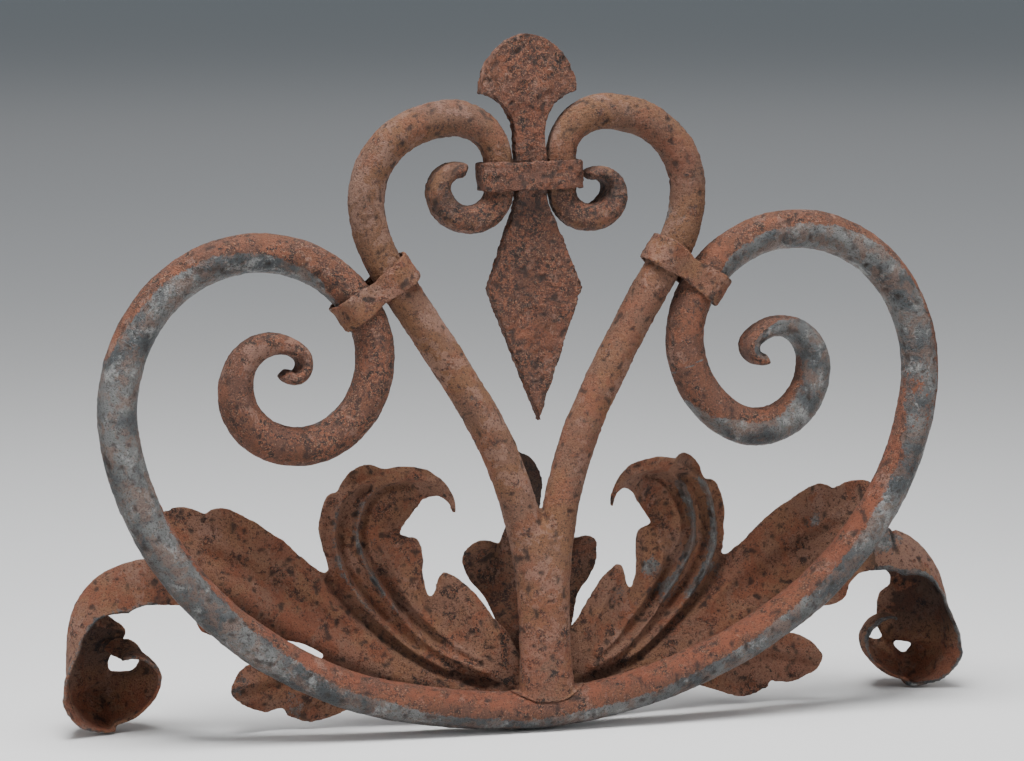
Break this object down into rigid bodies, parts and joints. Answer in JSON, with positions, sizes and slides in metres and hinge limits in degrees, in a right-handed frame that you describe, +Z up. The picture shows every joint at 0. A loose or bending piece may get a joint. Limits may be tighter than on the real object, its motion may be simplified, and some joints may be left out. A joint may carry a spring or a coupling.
{
  "type": "wrought iron scrollwork crest",
  "caption": "Scrolled round iron bar and heart-shaped bar joined by collars, with a spear-tipped lily plate and acanthus leaves whose ends roll under as feet.",
  "frame": {"origin": "on the ground under the middle of the outer bar", "axes": "+X to the right seen from the front, +Y to the back, +Z up"},
  "size_m": [0.4642, 0.078, 0.3377],
  "materials": {
    "iron_bars": "rusted forged bar with worn grey zinc paint",
    "iron_leaves": "rusted hammered sheet"
  },
  "bodies": {
    "root": {"outer_bar": "iron_bars", "heart_bar": "iron_bars", "lily_plate": "iron_bars", "collar_top": "iron_bars", "collar_left": "iron_bars", "collar_right": "iron_bars", "leaf_right": "iron_leaves", "leaf_left": "iron_leaves", "leaf_rear": "iron_leaves"}
  },
  "joints": []
}
